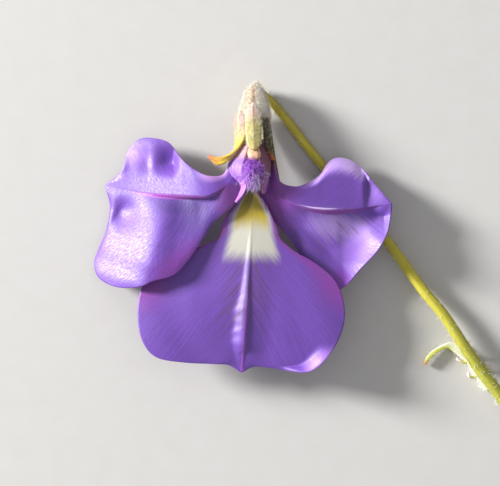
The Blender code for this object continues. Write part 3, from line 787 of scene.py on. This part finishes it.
# The left side petal, in front of the middle one. It is folded back along its rib, so its upper
# half makes a ledge over the lower one, and its outer part bends down to the left.
LEFT_LOWER = [
    (-0.1, 5.0, 2.7), (-0.4, 2.6, 3.3), (-0.35, 0.8, 4.0), (-0.8, -0.6, 4.35), (-1.9, -1.8, 4.6),
    (-3.5, -3.2, 4.3), (-4.7, -4.9, 4.3), (-6.2, -7.1, 4.35), (-7.6, -8.5, 4.45), (-9.6, -9.1, 4.5),
    (-11.1, -9.7, 4.1), (-13.4, -9.7, 2.8), (-15.2, -8.8, 1.35), (-15.7, -7.3, 0.6),
    (-15.2, -5.8, 0.55), (-14.5, -4.1, 0.8), (-14.1, -1.7, 0.75), (-14.6, 0.5, 0.5),
]
LEFT_RIB = [
    (-0.6, 5.1, 3.0), (-1.5, 3.1, 3.7), (-2.0, 0.9, 4.4), (-3.9, -0.5, 5.0), (-5.4, -0.6, 4.8),
    (-7.5, -0.5, 3.9), (-10.0, -0.3, 2.7), (-12.5, 0.1, 1.5), (-14.6, 0.5, 0.5),
]
LEFT_UPPER = [
    (-0.9, 5.2, 3.3), (-1.9, 3.6, 3.8), (-2.6, 1.6, 4.2), (-4.2, 1.4, 4.6), (-5.8, 2.2, 4.0),
    (-7.0, 3.3, 3.2), (-8.2, 4.8, 2.5), (-9.9, 5.25, 1.8), (-11.2, 5.1, 1.3), (-12.3, 3.9, 1.1),
    (-12.9, 2.0, 1.25), (-14.6, 0.5, 0.5),
]

# Each dent's depth, its deepest place, and how far it reaches to the left, right, down and up.
LEFT_DENTS = [
    (1.35, (-7.7, 2.7), 1.6, 0.5, 0.9, 1.7),
    (0.25, (-10.3, 2.6), 0.8, 0.4, 1.0, 1.3),
    (0.7, (-12.7, -2.2), 1.2, 1.7, 1.7, 1.2),
]
LEFT_LEDGE = 0.85


def dented(x, y, dents):
    """How far the dents press each point down. A dent is steep on the sides where it is short."""
    lift = 0
    for depth, centre, left, right, below, above in dents:
        u = (x - centre[0]) / np.where(x < centre[0], left, right)
        v = (y - centre[1]) / np.where(y < centre[1], below, above)
        lift = lift - depth * np.exp(-(u**2) - v**2)
    return lift


def left_relief(x, y, side, along):
    """The dents, the ledge along the fold, whose drop is made up towards the margin, and waves."""
    depth = LEFT_LEDGE * ease(x, -11.0, -6.0) * (1 - ease(x, -5.2, -2.2))
    step = -depth * np.where(side < 0, ease(-side, 0.0, 0.035) * (1 - ease(-side, 0.05, 1.0)), 0)
    waves = 0.08 * np.sin(2.2 * y + 0.8 * x) * ease(np.abs(side), 0.5, 1.0)
    return dented(x, y, LEFT_DENTS) + step + waves * ease(along, 0.4, 0.6)


left_points, left_faces, left_fields = blade(
    (LEFT_LOWER, LEFT_RIB, LEFT_UPPER), PETAL_ROWS, PETAL_HALF_COLUMNS, PETAL_THICKNESS,
    bows=((0, 0, 0, 0.25, 0.6, 0.42, 0.3, 0.25, 0), (0, 0, 0)), claw=PETAL_CLAW, relief=left_relief,
    slants=(1, 0.6, 0.4, 0.4),
)
left_skin = petal_skin(
    "left petal epidermis",
    [
        ("lip", "#C08CD4", 0.1, 1.0, 0.3),
        ("base", "#6E2A86", 0.1, 1.0, 0.3),
        ("claw", "#B890A4", 0.1, 1.0, 0.3),
        ("overlap", "#8234A6", 0.1, 0.8, 0.4),
        # Painted highlight: paler violet on the upper half near the tip, where it faces the light.
        ("pale", "#A47AD8", 0.1, 0.9, 0.4),
        # Painted shade: dark violet under the ledge along the fold, where the ledge casts its shadow.
        ("fold", "#482482", 0.05, 0.95, 0.3),
        # Painted shade: a thin magenta line just under the fold's crest.
        ("crease", "#A040B0", 0.2, 0.8, 0.1),
    ],
)
lx, ly = left_points[:, 0], left_points[:, 1]
add_piece(
    "petal_left_blade", left_points, left_faces, left_skin, "petal_left",
    {
        **left_fields,
        "lip": ease(left_fields["side"], 0.2, 0.9) * ease(lx, -6.5, -3.5) * 0.8,
        "base": (1 - ease(ly, 0.0, 1.2)) * ease(lx, -4.6, -2.0),
        "claw": ease(ly, 2.0, 3.6) * ease(lx, -3.6, -2.6),
        "overlap": patch(lx, ly, (-6.6, -8.0), (4.2, 2.2), 40),
        # Painted highlight on the upper half near the tip.
        "pale": 0.6 * patch(lx, ly, (-11.4, 3.4), (2.2, 1.6)),
        # Painted shade under the ledge, where its shadow falls.
        "fold": np.maximum(
            patch(lx, ly, (-6.6, -1.7), (3.4, 1.2), -6),
            0.7 * patch(lx, ly, (-5.6, -2.8), (3.6, 2.4), -6),
        ),
        # Painted shade along the crease.
        "crease": patch(left_fields["side"], left_fields["along"], (-0.02, 0.5), (0.035, 0.32)),
    },
)

# The right side petal, behind the middle one. It is folded like the left one. Its lower half turns
# up towards the tip, where it catches the light, and its upper half rolls back along its margin.
RIGHT_LOWER = [
    (0.9, 5.0, 2.7), (0.8, 2.6, 2.95), (0.5, 0.2, 3.15), (1.2, -1.5, 3.1), (2.6, -3.3, 2.9),
    (3.95, -4.75, 2.7), (4.75, -6.0, 2.6), (5.6, -7.8, 2.6), (7.0, -9.3, 2.75), (8.6, -10.0, 3.0),
    (9.7, -9.5, 3.05), (11.1, -7.9, 3.5), (12.7, -6.1, 4.3), (13.7, -4.3, 4.3), (14.1, -2.5, 3.6),
    (14.2, -1.35, 3.6),
]
RIGHT_RIB = [
    (1.4, 5.1, 3.0), (2.0, 2.9, 3.5), (2.6, 0.4, 4.0), (4.2, -1.3, 4.3), (7.2, -2.0, 4.2),
    (10.2, -1.9, 3.7), (11.6, -1.7, 3.5), (12.8, -1.5, 3.5), (14.2, -1.35, 3.6),
]
RIGHT_UPPER = [
    (1.7, 5.2, 3.3), (2.35, 3.4, 3.8), (2.9, 1.0, 4.1), (4.4, 0.35, 4.1), (5.8, 0.7, 3.9),
    (7.1, 1.6, 3.6), (7.9, 2.8, 3.2), (8.9, 3.25, 3.0), (10.3, 2.9, 2.9), (11.4, 2.0, 3.0),
    (12.5, 0.6, 3.4), (14.2, -1.35, 3.6),
]
RIGHT_DENTS = [(0.5, (11.75, 0.3), 0.3, 1.9, 1.7, 2.0), (0.8, (13.4, -2.7), 2.0, 0.6, 1.8, 0.6)]
RIGHT_LEDGE = 0.25
RIGHT_ROLL = 1.45
# The trough is a straight crease through one point, with how far its two banks reach from it.
TROUGH_DEPTH = 0.9
TROUGH_POINT = (5.0, -2.5)
TROUGH_ACROSS = (0.787, 0.617)
TROUGH_BANKS = (3.0, 4.5)


def right_relief(x, y, side, along):
    """The rolled margin, the dents, the ledge along the fold and the trough of the lower half."""
    roll = -RIGHT_ROLL * ease(side, 0.7, 1.05) * ease(x, 4.5, 6.5) * (1 - ease(x, 11.0, 12.0))
    step = -RIGHT_LEDGE * np.where(side < 0, ease(-side, 0.0, 0.05) * (1 - ease(-side, 0.15, 0.6)), 0)
    step = step * ease(along, 0.3, 0.45) * (1 - ease(along, 0.85, 0.95))
    beyond = (x - TROUGH_POINT[0]) * TROUGH_ACROSS[0] + (y - TROUGH_POINT[1]) * TROUGH_ACROSS[1]
    bank = np.where(beyond > 0, TROUGH_BANKS[1], TROUGH_BANKS[0])
    trough = TROUGH_DEPTH * np.clip(1 - np.sqrt(beyond**2 + 0.03) / bank, 0, 1)
    trough = trough * ease(-side, 0.1, 0.5) * ease(y, -10.0, -7.0)
    return roll + dented(x, y, RIGHT_DENTS) + step - trough


right_points, right_faces, right_fields = blade(
    (RIGHT_LOWER, RIGHT_RIB, RIGHT_UPPER), PETAL_ROWS, PETAL_HALF_COLUMNS, PETAL_THICKNESS,
    bows=((0, 0, -0.1, -0.35, -0.35, 0), (0, 0, 0)), claw=PETAL_CLAW, relief=right_relief,
    slants=(1.2, 1.0, 0.8, 0.6),
)
right_skin = petal_skin(
    "right petal epidermis",
    [
        # Painted highlight: paler violet on the lit lower right of the petal and on the lit triangle by
        # its tip.
        ("rim", "#8E62C8", 0.1, 0.9, 0.4),
        # Painted highlight: paler violet in the lit part of the lower half.
        ("pale", "#AE8EDC", 0.1, 1.0, 0.9),
        ("veins", "#83508E", 0.25, 1.1, 2.2),
        # Painted highlight: pale lilac along the rolled upper margin, where it catches the light.
        ("lip", "#CBA4F6", 0.1, 1.0, 0.9),
        # Painted shade: darker purple at the base, under the anthers' shadow.
        ("base", "#7E2E98", 0.0, 1.0, 0.2),
        ("claw", "#6B3A4C", 0.0, 1.0, 0.2),
        # Painted shade: darker purple at the low tip, in the middle petal's shadow.
        ("low", "#8A3CB4", 0.1, 1.2, 0.4),
        # Painted shade: a thin magenta line just under the fold's crest.
        ("crease", MAGENTA, 0.2, 0.8, 0.1),
        # Painted highlight: a pale line along the fold's edge, where the ridge catches the light.
        ("edge", "#D8BCEE", 0.3, 0.8, 0.3),
    ],
)
rx, ry = right_points[:, 0], right_points[:, 1]
add_piece(
    "petal_right_blade", right_points, right_faces, right_skin, "petal_right",
    {
        **right_fields,
        # Painted shade at the base, under the anthers' shadow.
        "base": 1 - ease(rx - 0.3 * ry, 1.6, 7.5),
        # Painted shade at the low tip.
        "low": patch(rx, ry, (8.8, -9.4), (2.0, 1.8)),
        "claw": ease(ry, 1.0, 3.2) * (1 - ease(rx, 3.2, 4.2)),
        # Painted highlight in the lit part of the lower half.
        "pale": patch(rx, ry, (9.0, -3.7), (3.4, 1.5), -8),
        "veins": 0.45 * patch(rx, ry, (9.5, -4.6), (3.4, 2.2), -8),
        # Painted highlight on the lit lower right and the lit triangle by the tip.
        "rim": (
            0.8 * patch(rx, ry, (10.8, -5.8), (3, 2.2), 50)
            + 0.6 * patch(rx, ry, (12.6, -0.4), (1, 1.6))
        ),
        # Painted highlight along the rolled upper margin.
        "lip": ease(right_fields["side"], 0.55, 0.95) * ease(rx, 5.0, 7.0) * (1 - ease(rx, 11.0, 12.0)),
        # Painted shade along the crease.
        "crease": patch(right_fields["side"], right_fields["along"], (-0.02, 0.6), (0.03, 0.35)),
        # Painted highlight along the fold's edge.
        "edge": patch(right_fields["side"], rx, (0.025, 6.8), (0.02, 2.4)),
    },
)

# The upper lobes. Two narrow straps, one on each side of the anthers, that stand up from the slit
# in the flower's tube. The left one is violet with a pale base, and the right one is dark mauve.
LOBE_CLAW = "#C9A0A4"
# Each lobe's name, 1 on the left and -1 on the right, its widths, its two shades, its end's colour
# and its rib.
UPPER_LOBES = [
    (
        "petal_upper_left", 1, (0.7, 1.3, 1.9, 1.5, 0.9, 0.8, 0.4), ("#9460BC", "#7A46A6"), "#AE60BA",
        [(-0.2, 4.9, 3.85), (-0.9, 3.6, 4.4), (-1.4, 2.5, 4.7), (-1.3, 1.5, 4.85),
         (-0.6, 0.5, 4.95), (-0.85, -0.45, 5.0), (-1.4, -1.3, 4.95)],
    ),
    (
        "petal_upper_right", -1, (0.7, 1.2, 1.3, 0.9, 0.4), ("#864A68", "#683048"), "#9A48A8",
        [(1.0, 4.9, 3.85), (1.45, 3.7, 4.3), (1.55, 2.3, 4.7), (1.5, 0.8, 5.0), (1.35, -0.4, 5.1)],
    ),
]
for name, hand, widths, shades, end_colour, rib in UPPER_LOBES:
    lines = strap_lines(
        rib, widths, across_base=(0.9, 0, 0.4 * hand), across_tip=(0.5, 0, 0.85 * hand), droop=0.0
    )
    lobe_points, lobe_faces, lobe_fields = blade(
        lines, rows=90, half_columns=12, thickness=PETAL_THICKNESS
    )
    # Lobe skin: petal epidermis with lower domes, which gives a softer sheen than the lip's.
    lobe_skin = plant_skin(
        name + " epidermis", shades, (0.2, 1.5),
        [("end", end_colour, 0.2, 0.9, 0.3), ("claw", LOBE_CLAW, 0.1, 1.2, 0.3)],
        cell=0.16, relief=0.012, roughness=0.6, glow=0.15, sheen=0.4, gloss=0.9,
    )
    add_piece(
        name + "_strap", lobe_points, lobe_faces, lobe_skin, name,
        {
            "grain": lobe_fields["grain"][:, [1, 2, 0]],
            "end": ease(lobe_fields["along"], 0.5, 0.8) * (1 - ease(np.abs(lobe_fields["side"]), 0.6, 1)),
            "claw": (hand > 0) * (1 - ease(lobe_fields["along"], 0.2, 0.42)),
        },
    )

# The filaments. Five stalks grown into one peach-coloured tube, which bends out of the slit
# above the throat and carries the anthers.
FILAMENT_PATH = [(0.3, 4.6, 3.5), (0.35, 4.1, 4.1), (0.4, 3.65, 4.7), (0.55, 2.95, 5.1)]
FILAMENT_RADII = (0.3, 0.45, 0.52, 0.5)
FILAMENT_PEACH = "#E8C2A0"
FILAMENT_SHADE = "#D3A07A"
filament_points, filament_faces, filament_grain = round_tube(
    FILAMENT_PATH, FILAMENT_RADII, sides=30, rings=40, ribs=2, rib_height=0.14, closed=(False, True)
)
# Filament skin: smooth, juicy epidermis, which is a little glossier than the petals' velvet.
filament_skin = plant_skin(
    "filament epidermis", (FILAMENT_PEACH, FILAMENT_SHADE), (0.1, 0.8), cell=0.12, relief=0.008,
    roughness=0.45, glow=0.2,
)
add_piece(
    "filament_column", filament_points, filament_faces, filament_skin, "filament_tube",
    {"grain": filament_grain},
)

# The anthers. Five pollen cases grown into one blunt tube that hangs over the throat, deep purple
# and ribbed, with a shaggy beard of curled lilac hairs down its back and round its mouth.
ANTHER_PATH = [(0.3, 3.0, 4.55), (0.2, 2.2, 4.7), (0.12, 1.3, 4.75), (0.05, 0.25, 4.75)]
ANTHER_RADII = (0.85, 1.02, 1.0, 0.8, 0.5)
ANTHER_PURPLE = "#7B3FB0"
ANTHER_DARK = "#5A2784"
ANTHER_HAIRLINE = 4.3
BEARD_HAIRS = 1700
BEARD_VIOLET = "#A83CDC"
BEARD_LILAC = "#DE9CF6"
CURLED_HAIRS = 340
CURL_VIOLET = "#B05CDC"
CURL_WHITE = "#F0DEF8"
anther_points, anther_faces, anther_grain = round_tube(
    ANTHER_PATH, ANTHER_RADII, sides=40, rings=60, ribs=5, rib_height=0.06, closed=(True, True)
)
# Anther skin: the dry wall of the pollen cases, matt, with a faint sheen along its ribs.
anther_skin = plant_skin(
    "anther epidermis", (ANTHER_PURPLE, ANTHER_DARK), (0.12, 1.0), cell=0.12, relief=0.015,
    roughness=0.5, glow=0.1, sheen=0.2,
)
add_piece(
    "anther_cases", anther_points, anther_faces, anther_skin, "anther_tube",
    {"grain": anther_grain},
)
# Beard and curled hairs: both violet at the root. The beard's tips are lilac and the curled ones'
# nearly white, so that they stand out one by one.
beard_hair = hair_material("beard hair", BEARD_VIOLET, BEARD_LILAC)
curl_hair = hair_material("curled hair", CURL_VIOLET, CURL_WHITE)
anther_rng = np.random.default_rng(53)
upper_side = anther_points[:, 2] > ANTHER_HAIRLINE
anther_roots, anther_facing = scatter(
    anther_points, anther_faces, BEARD_HAIRS, anther_rng, upper_side * 1.0
)
add_hairs(
    "anther_beard", anther_roots, anther_facing, beard_hair, anther_rng,
    lengths=(0.35, 0.7), radius=0.024, lean=(0, -0.7, -0.5), wild=0.3, curl=0.4,
)
# The curled hairs grow thickest round the mouth, and more on the right than on the left.
curl_weight = upper_side * ease(-anther_points[:, 1], -2.4, -0.6)
curl_weight = curl_weight * (0.25 + ease(anther_points[:, 0], -0.2, 0.7))
curl_roots, curl_facing = scatter(
    anther_points, anther_faces, CURLED_HAIRS, anther_rng, curl_weight
)
add_hairs(
    "anther_curls", curl_roots, curl_facing, curl_hair, anther_rng,
    lengths=(0.6, 1.1), radius=0.03, lean=(0.2, -0.6, -0.6), wild=0.35, curl=0.6, joints=6,
)

# The floor. A plain sheet of pale studio paper that the flower lies on, wide enough to fill the
# picture from any side. Its size is in metres.
FLOOR_HALF = 1.5
PAPER_PALE = "#CFCCC8"
PAPER_PALER = "#D5D3D0"
floor_corners = [
    (-FLOOR_HALF, -FLOOR_HALF, 0), (FLOOR_HALF, -FLOOR_HALF, 0),
    (FLOOR_HALF, FLOOR_HALF, 0), (-FLOOR_HALF, FLOOR_HALF, 0),
]
floor_mesh = bpy.data.meshes.new("studio_floor")
floor_mesh.from_pydata(floor_corners, [], [(0, 1, 2, 3)])
# Matt paper: pressed, uncoated fibres, which give an even tone without gloss. Fibres are too fine
# to show, so the mottling is drawn about 2 mm wide. MOTTLES is how many of them cross the sheet.
MOTTLES = 1500.0
paper = bpy.data.materials.new("matt studio paper")
paper.use_nodes = True
fibres = add_node(paper.node_tree, "TexNoise", {"Scale": MOTTLES, "Detail": 3.0})
tone = add_node(
    paper.node_tree, "Mix", {"Factor": fibres, "A": linear(PAPER_PALE), "B": linear(PAPER_PALER)},
    data_type="RGBA",
)
paper_shader = paper.node_tree.nodes["Principled BSDF"]
paper.node_tree.links.new(tone.outputs[2], paper_shader.inputs["Base Color"])
paper_shader.inputs["Roughness"].default_value = 0.9
paper_shader.inputs["Specular IOR Level"].default_value = 0.1
floor_mesh.materials.append(paper)
floor = bpy.data.objects.new("studio_floor", floor_mesh)
bpy.context.scene.collection.objects.link(floor)

# The light. A soft box low on the flower's left, as the sun stands in the photograph, and a plain
# bright room that fills the shadows. The soft box's distance and size are in metres.
KEY_AZIMUTH = 160.0
KEY_ELEVATION = 20.0
KEY_DISTANCE = 0.6
KEY_SIZE = 0.14
KEY_POWER = 8.1
KEY_TARGET = (0.0, -6.0, 3.0)
# A very pale blue, as linear values.
ROOM_COLOUR = (0.96, 0.97, 1.0, 1.0)
ROOM_STRENGTH = 0.42
turn, rise = math.radians(KEY_AZIMUTH), math.radians(KEY_ELEVATION)
way = np.array([math.cos(turn) * math.cos(rise), math.sin(turn) * math.cos(rise), math.sin(rise)])
key_light = bpy.data.lights.new("soft_box", "AREA")
key_light.energy = KEY_POWER
key_light.size = KEY_SIZE
key = bpy.data.objects.new("soft_box", key_light)
aim = (THROAT + KEY_TARGET) * MM
key.location = aim + way * KEY_DISTANCE
key.rotation_euler = (math.pi / 2 - rise, 0.0, turn + math.pi / 2)
bpy.context.scene.collection.objects.link(key)
room = bpy.data.worlds.new("bright_room")
room.use_nodes = True
room_light = room.node_tree.nodes["Background"]
room_light.inputs["Color"].default_value = ROOM_COLOUR
room_light.inputs["Strength"].default_value = ROOM_STRENGTH
bpy.context.scene.world = room
bpy.context.scene.view_settings.view_transform = "Standard"

# The camera. A long lens straight above the flower, as far away as makes the picture 50 mm wide
# at the height of the petals. That width is in metres.
LENS = 200.0
PICTURE_WIDTH = 0.05
PICTURE_MIDDLE = (0.0, -5.3, 3.3)
camera_data = bpy.data.cameras.new("camera")
camera_data.lens = LENS
camera_data.clip_start = 0.01
camera_data.clip_end = 10.0
camera = bpy.data.objects.new("camera", camera_data)
camera.location = (THROAT + PICTURE_MIDDLE) * MM
camera.location.z += PICTURE_WIDTH * LENS / camera_data.sensor_width
bpy.context.scene.collection.objects.link(camera)
bpy.context.scene.camera = camera
